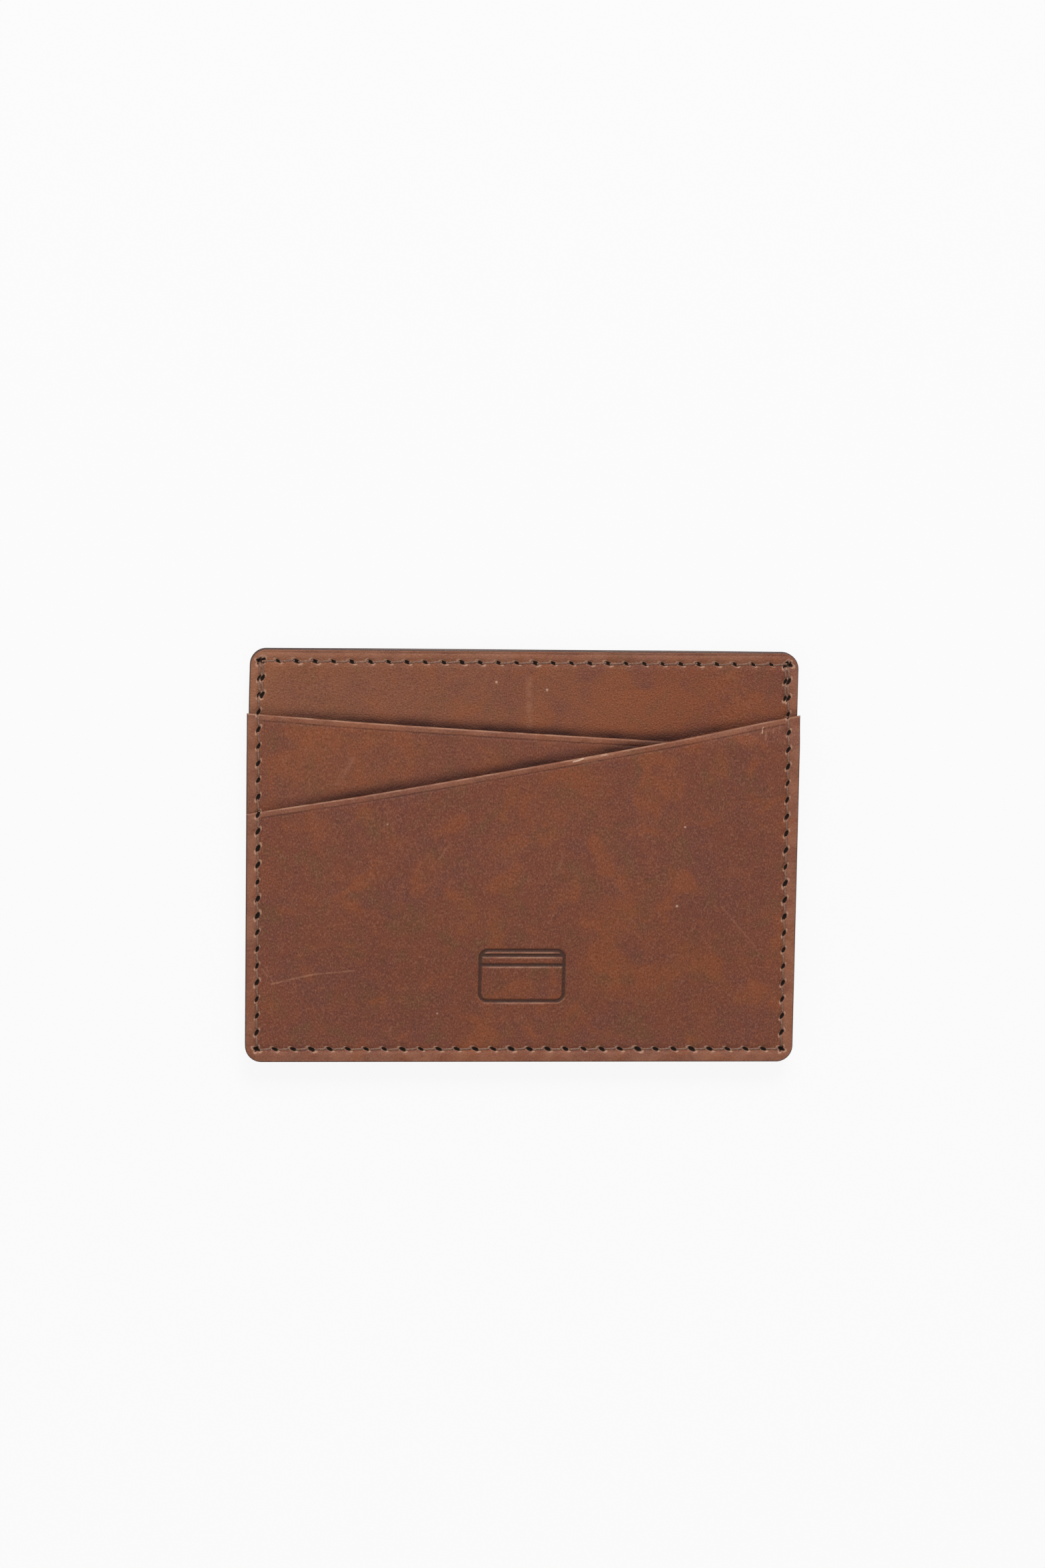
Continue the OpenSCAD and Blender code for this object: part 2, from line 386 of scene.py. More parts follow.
class Leather:
    """A sheet of leather between two heights: a fine outer face, a burnished edge and a plain
    inner face. up is 1 where the outer face looks up, and -1 where it looks down."""

    def __init__(self, name, outer, inner, far_y, half_w, seams, up=1, round_top=True):
        self.name = name
        self.outer = outer
        self.inner = inner
        self.far_y = far_y
        self.half_w = half_w
        self.seams = seams
        self.up = up
        self.round_top = round_top
        self.sign = False
        self.shows_from = BOTTOM
        self.crease_low = -1.0
        self.narrow = 0.0

    def edge_distance(self, x, y):
        gap = np.minimum(self.half_w - np.abs(x), y - BOTTOM)
        gap = np.minimum(gap, self.far_y(x) - y)
        for low in (True, False):
            if not low and not self.round_top:
                continue
            cx = np.abs(x) - (self.half_w - CORNER_R)
            cy = BOTTOM + CORNER_R - y if low else y - (TOP - CORNER_R)
            corner = (cx > 0) & (cy > 0)
            gap = np.where(corner, CORNER_R - np.hypot(cx, cy), gap)
        return gap.clip(0)

    def bend_corners(self, x, y, pull=0.0):
        """Rounds a square grid's corners, or pulls a rounded outline in by a distance."""
        for low in (True, False):
            if not low and not self.round_top:
                continue
            sx = np.sign(x)
            cx = sx * (self.half_w - CORNER_R)
            cy = BOTTOM + CORNER_R if low else TOP - CORNER_R
            sy = -1 if low else 1
            a = (sx * (x - cx) / CORNER_R).clip(-1, 1)
            b = (sy * (y - cy) / CORNER_R).clip(-1, 1)
            corner = (a > 0) & (b > 0)
            if pull:
                reach = np.hypot(a, b)
                scale = np.where(reach > 1e-9, (1 - pull / CORNER_R) / np.maximum(reach, 1e-9), 1)
                scale = np.minimum(scale, 1)
                bx, by = a * scale, b * scale
            else:
                bx, by = a * np.sqrt(1 - b * b / 2), b * np.sqrt(1 - a * a / 2)
            x = np.where(corner, cx + sx * CORNER_R * bx, x)
            y = np.where(corner, cy + sy * CORNER_R * by, y)
        return x, y

    def pulled_in(self, x, y, pull):
        x2, y2 = self.bend_corners(x, y, pull)
        x2 = np.clip(x2, -self.half_w + pull, self.half_w - pull)
        return x2, np.minimum(np.maximum(y2, BOTTOM + pull), self.far_y(x2) - pull)

    def grid(self):
        xs = column_lines(self.half_w, self.sign)
        low = [d * MM for d in EDGE_LINES]
        if self.sign:
            sign_low, sign_high = SIGN_LOW[1] - SIGN_MARGIN, SIGN_HIGH[1] + SIGN_MARGIN
            low += lines_between(low[-1], sign_low, FACE_STEP) + [sign_low]
            low += lines_between(sign_low, sign_high, SIGN_STEP) + [sign_high]
        far = [d * MM for d in reversed(MOUTH_LINES)]
        hidden = self.shows_from - BOTTOM
        if hidden > 0:
            low = [d * MM for d in HIDDEN_LINES]
            low += lines_between(low[-1], hidden, HIDDEN_STEP) + [hidden]
        mid = self.far_y(xs).mean() - BOTTOM - far[0] - low[-1]
        count = math.ceil(mid / (0.42 * MM))
        shares = np.arange(1, count) / count
        rows = [BOTTOM + np.full_like(xs, d) for d in low]
        start, end = rows[-1], self.far_y(xs) - far[0]
        rows += [start + (end - start) * s for s in shares]
        rows += [self.far_y(xs) - d for d in far]
        y = np.array(rows)
        return self.bend_corners(np.broadcast_to(xs, y.shape).copy(), y)

    def masks(self, x, y):
        """Distance to the edge, and shares of edge paint, rubbed rim, crease, sign and pale lip. The
        pale lip is burnish and painted highlight at a mouth's edge, and painted highlight under the
        sign's lines.
        """
        gap = self.edge_distance(x, y)
        seamed = self.near_seam(x, y)
        at_edge = smooth((PAINT_W - gap) / PAINT_FADE)
        painted = seamed * (1 - self.at_mouth(x, y))
        edge, lip = at_edge * painted, at_edge * (1 - painted)
        rim = smooth((SEAM_SIDE + RIM_PAST - gap) / RIM_FADE) * seamed
        crease = np.zeros_like(x)
        if self.crease_low > 0:
            from_mouth = self.far_y(x) - y
            crease = np.exp(-(((from_mouth - self.crease_low) / CREASE_W) ** 2))
            crease *= smooth((SEAM_X - np.abs(x)) / MM)
            if not self.round_top:
                hem = smooth((self.crease_low - from_mouth) / HEM_FADE)
                rim = np.maximum(rim, HEM_RUB * hem)
        sign = sign_mask(x, y) if self.sign else np.zeros_like(x)
        # Painted highlight on the lower wall of each debossed line
        if self.sign:
            lip = np.maximum(lip, (sign_mask(x, y + SIGN_SHINE) - sign).clip(0))
        return gap, edge, rim, crease, sign, lip

    def outer_z(self, x, y):
        gap, _, _, crease, sign, _ = self.masks(x, y)
        drop = EDGE_R - np.sqrt(np.maximum(EDGE_R**2 - (EDGE_R - gap).clip(0) ** 2, 0))
        bead = BEAD * np.exp(-(((gap - BEAD_AT) / BEAD_W) ** 2))
        bead *= self.near_seam(x, y)
        sink = seam_sink(self.seams, x, y) + CREASE_DEPTH * crease + SIGN_DEPTH * sign
        return self.outer(x, y) + self.up * (bead - drop - sink)

    def at_mouth(self, x, y):
        """1 where the nearest border is a mouth, which has no edge paint: it is burnished, with a
        painted highlight along it.
        """
        if self.round_top:
            return np.zeros_like(x)
        return smooth((self.half_w - np.abs(x) - self.far_y(x) + y) / (0.1 * MM) + 0.5)

    def near_seam(self, x, y):
        """1 on the margins that a seam runs along, 0 at a mouth without one."""
        half = 0.5 * MARGIN_FADE
        side = smooth((np.abs(x) - SEAM_X + half) / MARGIN_FADE)
        if self.round_top:
            side = np.maximum(side, smooth((y - SEAM_TOP + half) / MARGIN_FADE))
        return np.maximum(side, smooth((SEAM_BOTTOM + half - y) / MARGIN_FADE))

    def build(self):
        x, y = self.grid()
        quads, loop = grid_faces(x.shape)
        points = [np.stack([x, y, self.outer_z(x, y)], -1).reshape(-1, 3)]
        _, edge, rim, crease, sign, lip = self.masks(x, y)
        tags = [np.stack([edge, rim, crease, sign, 0 * x, lip], -1).reshape(-1, len(TAGS))]
        faces = quads.tolist()
        bx, by = x.reshape(-1)[loop], y.reshape(-1)[loop]
        previous, total = loop, x.size
        for pull, height in ((0, INNER_R), (0.3 * INNER_R, 0.3 * INNER_R), (INNER_R, 0)):
            rx, ry = self.pulled_in(bx, by, pull)
            rz = self.inner(rx, ry) + self.up * height
            if height == 0:
                break
            points.append(np.stack([rx, ry, rz], -1))
            # At a mouth the edge rings get the pale lip: burnish and a painted highlight
            paint = self.near_seam(bx, by) * (1 - self.at_mouth(bx, by))
            tags.append(np.column_stack([paint, paint, 0 * bx, 0 * bx, 0 * bx, 1 - paint]))
            ring = np.arange(total, total + len(loop))
            faces += band(previous, ring)
            previous, total = ring, total + len(loop)
        # The inner face: one ring of distinct points, filled with coarse triangles
        distinct, first, back = np.unique(
            np.round(np.stack([rx, ry], -1), 7), axis=0, return_index=True, return_inverse=True
        )
        order = np.argsort(first)
        rank = np.empty_like(order)
        rank[order] = np.arange(len(order))
        outline = distinct[order]
        back = rank[np.ravel(back)]
        gx, gy = np.meshgrid(
            np.arange(-self.half_w + INNER_STEP, self.half_w, INNER_STEP),
            np.arange(BOTTOM + INNER_STEP, TOP, INNER_STEP),
        )
        inside = self.edge_distance(gx, gy) > INNER_CLEAR
        flat = np.concatenate([outline, np.stack([gx[inside], gy[inside]], -1)])
        edges = [(i, (i + 1) % len(outline)) for i in range(len(outline))]
        cap, _, triangles, origin, _, _ = delaunay_2d_cdt(
            [Vector(p) for p in flat], edges, [], 1, 1e-9
        )
        place = {old: new for new, olds in enumerate(origin) for old in olds}
        cap = np.array([c[:] for c in cap])
        points.append(np.column_stack([cap, self.inner(cap[:, 0], cap[:, 1])]))
        tags.append(np.tile([0.0, 0, 0, 0, 1, 0], (len(cap), 1)))
        faces += [[total + i for i in reversed(t)] for t in triangles]
        faces += band(previous, np.array([total + place[i] for i in back]))
        points, tags = np.concatenate(points), np.concatenate(tags)
        return make_mesh(self.name, points, faces, tags, self.up, self.narrow)


def band(ring_a, ring_b):
    """Faces between two closed rings of the same length."""
    out = []
    for i in range(len(ring_a)):
        k = (i + 1) % len(ring_a)
        face = [ring_a[k], ring_a[i], ring_b[i], ring_b[k]]
        distinct = list(dict.fromkeys(int(v) for v in face))
        if len(distinct) > 2:
            out.append(distinct)
    return out


TAGS = ["edge", "rim", "crease", "sign", "flesh", "lip"]
# Size of the inner face on the baked picture, where the outer face is 1 wide
INNER_SHARE = 0.3
# The panels' top left is drawn in a little above the pockets
LEAN_FROM = float(upper_y(-HALF_W))
LEAN_LEFT = 0.16 * MM
NARROW_RISE = 8 * MM


def lean(points, narrow):
    share = smooth((points[:, 1] - LEAN_FROM) / (TOP - LEAN_FROM))
    above = smooth((points[:, 1] - LEAN_FROM) / NARROW_RISE + 1)
    across = points[:, 0] / HALF_W
    shift = share * LEAN_LEFT * (1 - across) / 2 - above * narrow * across
    return points + np.column_stack([shift, 0 * shift, 0 * shift])


def linked(name, data):
    """A new object in the scene."""
    new = bpy.data.objects.new(name, data)
    bpy.context.scene.collection.objects.link(new)
    return new


def make_mesh(name, points, faces, tags, up=1, narrow=0.0):
    mesh = bpy.data.meshes.new(name)
    mesh.from_pydata(lean(points, narrow).tolist(), [], faces)
    flat = mesh.attributes.new("flat_place", "FLOAT_VECTOR", "POINT")
    flat.data.foreach_set("vector", points.astype(np.float32).ravel())
    for i, tag in enumerate(TAGS):
        layer = mesh.attributes.new(tag, "FLOAT", "POINT")
        layer.data.foreach_set("value", tags[:, i].astype(np.float32))
    bm = bmesh.new()
    bm.from_mesh(mesh)
    bmesh.ops.remove_doubles(bm, verts=bm.verts, dist=2e-6)
    bmesh.ops.recalc_face_normals(bm, faces=bm.faces)
    bm.to_mesh(mesh)
    bm.free()
    mesh.polygons.foreach_set("use_smooth", [True] * len(mesh.polygons))
    unwrap(mesh, up)
    mesh.update()
    return linked(name, mesh)


def unwrap(mesh, up):
    """Lays the outer face out flat, with the inner face and the edge small below it."""
    co = np.zeros(len(mesh.vertices) * 3)
    mesh.vertices.foreach_get("co", co)
    co = co.reshape(-1, 3)
    low, size = co.min(0), np.ptp(co, 0)
    width = size[0]
    corner = np.zeros(len(mesh.loops), int)
    mesh.loops.foreach_get("vertex_index", corner)
    owner = np.repeat(np.arange(len(mesh.polygons)), [p.loop_total for p in mesh.polygons])
    normal = np.zeros(len(mesh.polygons) * 3)
    mesh.polygons.foreach_get("normal", normal)
    facing = normal.reshape(-1, 3)[owner, 2] * up
    u = (co[corner, 0] - low[0]) / width
    v = (co[corner, 1] - low[1]) / width
    outer_v = v + 1 - size[1] / width
    # The edge is unrolled along the outline
    centre = low + size / 2
    around = np.arctan2(co[corner, 1] - centre[1], co[corner, 0] - centre[0])
    starts = np.concatenate([[0], np.cumsum([p.loop_total for p in mesh.polygons])[:-1]])
    spread = np.maximum.reduceat(around, starts) - np.minimum.reduceat(around, starts)
    around = np.where((spread[owner] > math.pi) & (around < 0), around + 2 * math.pi, around)
    edge_u = 0.34 + 0.6 * (around + math.pi) / (2.1 * math.pi)
    edge_v = 0.02 + 0.06 * (co[corner, 2] - low[2]) / max(size[2], 1e-6)
    outer, inner = facing > 0.25, facing < -0.25
    uv = np.empty((len(corner), 2))
    uv[:, 0] = np.where(outer, u, np.where(inner, 0.01 + u * INNER_SHARE, edge_u))
    uv[:, 1] = np.where(outer, outer_v, np.where(inner, 0.01 + v * INNER_SHARE, edge_v))
    layer = mesh.uv_layers.new(name="OFBake")
    layer.data.foreach_set("uv", uv.ravel())


def place(piece, node, slot, material):
    piece.data.materials.append(material)
    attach(piece, BODY)
    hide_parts(node)
    return piece


# ---------------------------------------------------------------- cloth and tape

# Grid lines near a lining's edge, as distances from it in millimetres
CORNER_LINES = [0, 0.25, 0.6, 1.0, 1.5, 2.0]


def sheet_lines(low, high, step=1.2 * MM):
    """Grid lines across a sheet, finer where its corners are rounded."""
    ends = [d * MM for d in CORNER_LINES]
    middle_lines = lines_between(low + ends[-1], high - ends[-1], step)
    return np.array([low + d for d in ends] + middle_lines + [high - d for d in ends[::-1]])


def thin_sheet(name, low, high, half_w, y0, y1):
    """A closed thin sheet between two heights, with rounded corners."""
    r = CORNER_R - LINING_INSET
    x, y = np.meshgrid(sheet_lines(-half_w, half_w), sheet_lines(y0, y1))
    for cy, sy in ((y0 + r, -1), (y1 - r, 1)):
        sx = np.sign(x)
        cx = sx * (half_w - r)
        a, b = sx * (x - cx) / r, sy * (y - cy) / r
        corner = (a > 0) & (b > 0)
        a, b = a.clip(-1, 1), b.clip(-1, 1)
        x = np.where(corner, cx + sx * r * a * np.sqrt(1 - b * b / 2), x)
        y = np.where(corner, cy + sy * r * b * np.sqrt(1 - a * a / 2), y)
    return thin_solid(name, low, high, x, y)


def thin_patch(name, low, high, x0, x1, y0, y1, nx, ny):
    x, y = np.meshgrid(np.linspace(x0, x1, nx + 1), np.linspace(y0, y1, ny + 1))
    return thin_solid(name, low, high, x, y)


def thin_solid(name, low, high, x, y):
    quads, loop = grid_faces(x.shape)
    points = [np.stack([x, y, h(x, y)], -1).reshape(-1, 3) for h in (high, low)]
    faces = quads.tolist() + (quads[:, ::-1] + x.size).tolist()
    faces += band(loop, loop + x.size)
    tags = np.zeros((2 * x.size, len(TAGS)))
    return make_mesh(name, np.concatenate(points), faces, tags)


# ---------------------------------------------------------------- thread

RINGS = 15
SIDES_ROUND = 9
PLIES = 3
TWIST = 2 * math.pi / (1.5 * MM)
# Depth of the thread's ends in their holes, and over which length it dives there
DIVE = 0.55 * MM
DIVE_FROM = 0.1 * MM
DIVE_TO = 0.5 * MM
# Each stitch bends sideways a little, and no two lie quite alike
SNAKE = 0.03 * MM
JITTER = 0.035 * MM
# How much the plies bulge out of the thread
PLY_BULGE = 0.16


def stitch_rings(start, end, surface, up):
    """Centre line of one stitch, which dives into a hole at each end."""
    t = 0.5 - 0.5 * np.cos(np.linspace(0, math.pi, RINGS))
    side = np.array([start[1] - end[1], end[0] - start[0]])
    length = np.linalg.norm(side)
    side = side / length
    bow = SNAKE * np.sin(2 * math.pi * t)
    x = start[0] + (end[0] - start[0]) * t + side[0] * bow
    y = start[1] + (end[1] - start[1]) * t + side[1] * bow
    face = surface(x, y)
    face = np.convolve(np.pad(face, 2, mode="edge"), np.ones(5) / 5, mode="valid")
    out = smooth((np.minimum(t, 1 - t) * length - DIVE_FROM) / (DIVE_TO - DIVE_FROM))
    z = face - up * DIVE * (1 - out)
    return np.stack([x, y, z], -1)


def thread_piece(name, runs):
    """Every stitch of some seams as a twisted three-ply thread. A run is (seam, surface, up)."""
    points, faces, total = [], [], 0
    chance = np.random.default_rng(len(name))
    around = np.arange(SIDES_ROUND) * 2 * math.pi / SIDES_ROUND
    for seam, surface, up in runs:
        holes = seam.holes()
        slant = np.array([math.cos(seam.slant), math.sin(seam.slant)]) * HOLE_LONG * 0.6
        for start, end in zip(holes, holes[1:]):
            start = np.array(start) + slant + chance.normal(0, JITTER, 2)
            end = np.array(end) - slant + chance.normal(0, JITTER, 2)
            path = stitch_rings(start, end, surface, up)
            path[:, 2] += up * chance.uniform(-JITTER, JITTER)
            along = np.gradient(path, axis=0)
            along /= np.linalg.norm(along, axis=1)[:, None]
            flat = np.cross(along, [0, 0, 1.0])
            flat /= np.linalg.norm(flat, axis=1)[:, None]
            tall = np.cross(flat, along)
            length = np.concatenate(
                [[0], np.cumsum(np.linalg.norm(np.diff(path, axis=0), axis=1))]
            )
            turn = around[None, :] + 0.4
            radius = 1 + PLY_BULGE * np.cos(PLIES * turn - TWIST * length[:, None])
            radius *= THREAD_D / 2
            ring = path[:, None, :] + radius[..., None] * (
                np.cos(turn)[..., None] * flat[:, None, :]
                + np.sin(turn)[..., None] * tall[:, None, :]
            )
            points.append(ring.reshape(-1, 3))
            base = total + np.arange(RINGS * SIDES_ROUND).reshape(RINGS, SIDES_ROUND)
            for a, b in zip(base, base[1:]):
                faces += band(a, b)
            faces.append(base[0].tolist())
            faces.append(base[-1, ::-1].tolist())
            total += RINGS * SIDES_ROUND
    points = np.concatenate(points)
    return make_mesh(name, points, faces, np.zeros((len(points), len(TAGS))))


# ---------------------------------------------------------------- materials

# Width of the band of painted shade above a mouth, and how fast it fades
BAND_W = 3.2 * MM
BAND_FALL = 2.4


class Tree:
    """Short names for the shader nodes of one material."""

    def __init__(self, name):
        self.material = bpy.data.materials.new(name)
        self.material.use_nodes = True
        self.nodes = self.material.node_tree.nodes
        self.links = self.material.node_tree.links
        self.shader = self.nodes["Principled BSDF"]

    def put(self, socket, value):
        if isinstance(value, bpy.types.NodeSocket):
            self.links.new(value, socket)
        elif value is not None:
            socket.default_value = value

    def math(self, operation, a, b=None, c=None):
        node = self.nodes.new("ShaderNodeMath")
        node.operation = operation
        for socket, value in zip(node.inputs, (a, b, c)):
            self.put(socket, value)
        return node.outputs[0]

    def vector(self, operation, a, b=None, c=None):
        node = self.nodes.new("ShaderNodeVectorMath")
        node.operation = operation
        for socket, value in zip(node.inputs, (a, b, c)):
            self.put(socket, value)
        return node.outputs["Vector"]

    def split(self, place):
        node = self.nodes.new("ShaderNodeSeparateXYZ")
        self.put(node.inputs[0], place)
        return node.outputs["X"], node.outputs["Y"]

    def noise(self, place, scale, detail=2.0, rough=0.5, warp=0.0):
        node = self.nodes.new("ShaderNodeTexNoise")
        self.put(node.inputs["Vector"], place)
        node.inputs["Scale"].default_value = scale
        node.inputs["Detail"].default_value = detail
        node.inputs["Roughness"].default_value = rough
        node.inputs["Distortion"].default_value = warp
        return node.outputs["Fac"]

    def noise_colour(self, place, scale):
        """Three noises at once, each around 0."""
        node = self.nodes.new("ShaderNodeTexNoise")
        self.put(node.inputs["Vector"], place)
        node.inputs["Scale"].default_value = scale
        node.inputs["Detail"].default_value = 2
        return self.vector("SUBTRACT", node.outputs["Color"], (0.5, 0.5, 0.5))

    def cells(self, place, scale):
        node = self.nodes.new("ShaderNodeTexVoronoi")
        self.put(node.inputs["Vector"], place)
        node.inputs["Scale"].default_value = scale
        return node.outputs["Distance"]

    def ramp(self, value, low, high, to_low=0.0, to_high=1.0):
        node = self.nodes.new("ShaderNodeMapRange")
        node.interpolation_type = "SMOOTHSTEP"
        for socket, v in zip(node.inputs, (value, low, high, to_low, to_high)):
            self.put(socket, v)
        return node.outputs["Result"]

    def mix(self, share, a, b):
        node = self.nodes.new("ShaderNodeMix")
        node.data_type = "RGBA"
        self.put(node.inputs["Factor"], share)
        for socket, value in ((node.inputs[6], a), (node.inputs[7], b)):
            if isinstance(value, tuple):
                value = (*value, 1.0)
            self.put(socket, value)
        return node.outputs[2]

    def tag(self, name):
        node = self.nodes.new("ShaderNodeAttribute")
        node.attribute_name = name
        return node.outputs["Fac"]

    def bump(self, height, strength, distance, normal=None):
        node = self.nodes.new("ShaderNodeBump")
        node.inputs["Strength"].default_value = strength
        node.inputs["Distance"].default_value = distance
        self.put(node.inputs["Height"], height)
        self.put(node.inputs["Normal"], normal)
        return node.outputs["Normal"]

    def object_place(self):
        return self.nodes.new("ShaderNodeTexCoord").outputs["Object"]

    def place_on_sheet(self):
        """A point's place before its sheet was drawn in at the top."""
        node = self.nodes.new("ShaderNodeAttribute")
        node.attribute_name = "flat_place"
        return node.outputs["Vector"]

    def band_above(self, place, mouth):
        """A soft band of painted shade along the upper side of a mouth's parabola, strongest at the
        middle.
        """
        x, y = self.split(place)
        a, b, c = (float(v) for v in mouth.coefficients)
        line = self.math("MULTIPLY_ADD", self.math("MULTIPLY_ADD", x, a, b), x, c)
        above = self.math("SUBTRACT", y, line)
        near = self.ramp(above, 0.1 * MM, BAND_W, 1.0, 0.0)
        near = self.math("POWER", near, BAND_FALL)
        shown = self.ramp(above, -0.4 * MM, 0.0, 0.0, 1.0)
        side = self.ramp(self.math("ABSOLUTE", x), HALF_W * 0.5, SEAM_X, 1.0, 0.45)
        return self.math("MULTIPLY", self.math("MULTIPLY", near, shown), side)

    def hole_masks(self, seam, place):
        """1 in the slanted needle holes of a seam, painted as shade, and 1 on the lips raised at
        their far ends, painted as a highlight.
        """
        x, y = self.split(place)
        along, across = (x, y) if seam.axis == 0 else (y, x)
        steps = self.math("DIVIDE", self.math("SUBTRACT", along, seam.start), seam.pitch)
        nearest = self.math("ROUND", self.math("MINIMUM", steps, float(seam.count)))
        nearest = self.math("MAXIMUM", nearest, 0.0)
        s = self.math("MULTIPLY", self.math("SUBTRACT", steps, nearest), seam.pitch)
        n = self.math("SUBTRACT", across, float(seam.line))
        dx, dy = (s, n) if seam.axis == 0 else (n, s)
        c, k = math.cos(seam.slant), math.sin(seam.slant)
        long = self.math("MULTIPLY_ADD", dx, c / HOLE_LONG, self.math("MULTIPLY", dy, k / HOLE_LONG))
        short = self.math(
            "MULTIPLY_ADD", dy, c / HOLE_SHORT, self.math("MULTIPLY", dx, -k / HOLE_SHORT)
        )
        reach = self.math("MULTIPLY_ADD", long, long, self.math("MULTIPLY", short, short))
        chance = self.nodes.new("ShaderNodeTexWhiteNoise")
        chance.noise_dimensions = "1D"
        self.put(chance.inputs["W"], self.math("ADD", nearest, float(seam.line) * 1000))
        size = self.math("MULTIPLY_ADD", chance.outputs["Value"], 0.65, 0.8)
        reach = self.math("MULTIPLY", reach, size)
        hole = self.ramp(reach, 0.75, 1.35, 1.0, 0.0)
        ring = self.math("MULTIPLY", self.ramp(reach, 0.9, 1.5), self.ramp(reach, 2.0, 3.6, 1.0, 0.0))
        ends = self.ramp(self.math("ABSOLUTE", long), 0.4, 1.1, 0.15, 0.95)
        lips = self.math("MULTIPLY", ring, ends)
        return hole, lips

    def stroke(self, place, start, end, width):
        """1 along a straight stroke between two points, in metres from the wallet's middle."""
        a, b = np.array(start), np.array(end)
        d = b - a
        x, y = self.split(place)
        px = self.math("SUBTRACT", x, float(a[0]))
        py = self.math("SUBTRACT", y, float(a[1]))
        size = float(d @ d)
        t = self.math(
            "MULTIPLY_ADD", px, float(d[0]) / size, self.math("MULTIPLY", py, float(d[1]) / size)
        )
        t = self.math("MINIMUM", self.math("MAXIMUM", t, 0.0), 1.0)
        qx = self.math("MULTIPLY_ADD", t, -float(d[0]), px)
        qy = self.math("MULTIPLY_ADD", t, -float(d[1]), py)
        away = self.math("SQRT", self.math("MULTIPLY_ADD", qx, qx, self.math("MULTIPLY", qy, qy)))
        return self.ramp(away, 0.0, width, 1.0, 0.0)


RED_BROWN = (0.163, 0.043, 0.0185)
ORANGE_BROWN = (0.222, 0.057, 0.016)
PLUM_BROWN = (0.138, 0.040, 0.025)
OLIVE_BROWN = (0.130, 0.051, 0.018)
TAN_BROWN = (0.235, 0.083, 0.035)
PALE_BROWN = (0.300, 0.128, 0.074)
LIP_BROWN = (0.400, 0.215, 0.140)
CHIP_AND_HIGHLIGHT_PALE = (0.55, 0.36, 0.26)
DEEP_BROWN = (0.050, 0.014, 0.008)
SHADE_BAND_BROWN = (0.038, 0.008, 0.004)
PRESSED_BROWN = (0.042, 0.018, 0.012)
HOLE_SHADE_BLACK = (0.007, 0.003, 0.0015)
PAINT = (0.022, 0.010, 0.008)
SUEDE = (0.20, 0.105, 0.062)


def hide_colour(t, moved, grain, tan):
    """Soft patches of browns, then the streaky grain, paler on its tops and darker in its valleys:
    partly the hide's tone, partly painted highlight and painted shade.
    """
    broad = t.noise(moved, 32, 2, 0.5, 0.5)
    red = t.noise(t.vector("ADD", moved, (1.7, 0.3, 0.0)), 150, 2, 0.55, 0.5)
    plum = t.noise(t.vector("ADD", moved, (0.4, 2.9, 0.0)), 130, 2, 0.55, 0.5)
    olive = t.noise(t.vector("ADD", moved, (3.1, 1.2, 0.0)), 190, 2, 0.55, 0.5)
    blot = t.noise(t.vector("ADD", moved, (2.3, 4.1, 0.0)), 430, 2, 0.55, 0.3)
    colour = t.mix(tan, RED_BROWN, TAN_BROWN)
    colour = t.mix(t.ramp(broad, 0.4, 0.66, 0, 0.6), colour, PLUM_BROWN)
    colour = t.mix(t.ramp(broad, 0.5, 0.34, 0, 0.5), colour, ORANGE_BROWN)
    colour = t.mix(t.ramp(plum, 0.46, 0.7, 0, 0.85), colour, PLUM_BROWN)
    colour = t.mix(t.ramp(olive, 0.5, 0.7, 0, 0.55), colour, OLIVE_BROWN)
    colour = t.mix(t.ramp(red, 0.5, 0.7, 0, 0.6), colour, ORANGE_BROWN)
    colour = t.mix(t.ramp(blot, 0.5, 0.7, 0, 0.25), colour, OLIVE_BROWN)
    colour = t.mix(t.ramp(blot, 0.5, 0.3, 0, 0.25), colour, ORANGE_BROWN)
    colour = t.mix(t.math("MULTIPLY", tan, 0.45), colour, TAN_BROWN)
    # Grain tops paler and valleys darker, from the same noise as the bump: partly tone, partly
    # painted highlight and painted shade
    colour = t.mix(t.ramp(grain, 0.5, 0.7, 0, 0.38), colour, PALE_BROWN)
    return t.mix(t.ramp(grain, 0.46, 0.3, 0, 0.4), colour, DEEP_BROWN)


